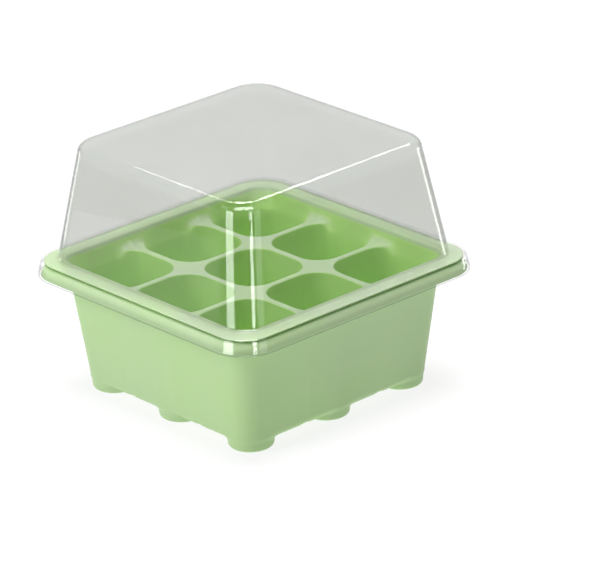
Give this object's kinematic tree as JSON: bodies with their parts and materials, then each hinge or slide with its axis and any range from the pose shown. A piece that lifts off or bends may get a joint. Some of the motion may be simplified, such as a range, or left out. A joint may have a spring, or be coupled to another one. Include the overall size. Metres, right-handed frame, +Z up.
{
  "type": "seed propagation tray",
  "caption": "Square seed-raising set: a deep open tray on low round feet, a drop-in insert of tapered planting cells, and a clear drafted dome lid that lifts off to keep the air humid.",
  "frame": {"origin": "on the floor, under the centre of the tray", "axes": "+Z up; X and Y along the tray's two equal sides"},
  "size_m": [0.15, 0.15, 0.1202],
  "materials": {
    "base_plastic": "satin, soft sheen",
    "cell_plastic": "semi-gloss",
    "clear_plastic": "clear gloss"
  },
  "bodies": {
    "base": {"base_tray": "base_plastic"},
    "insert": {"cell_tray": "cell_plastic"},
    "lid": {"dome_lid": "clear_plastic"}
  },
  "joints": [
    {"name": "insert_lift", "type": "slide", "parent": "base", "child": "insert", "axis": [0, 0, 1], "range_m": [0, 0.07]},
    {"name": "lid_lift", "type": "slide", "parent": "insert", "child": "lid", "axis": [0, 0, 1], "range_m": [0, 0.1]}
  ]
}
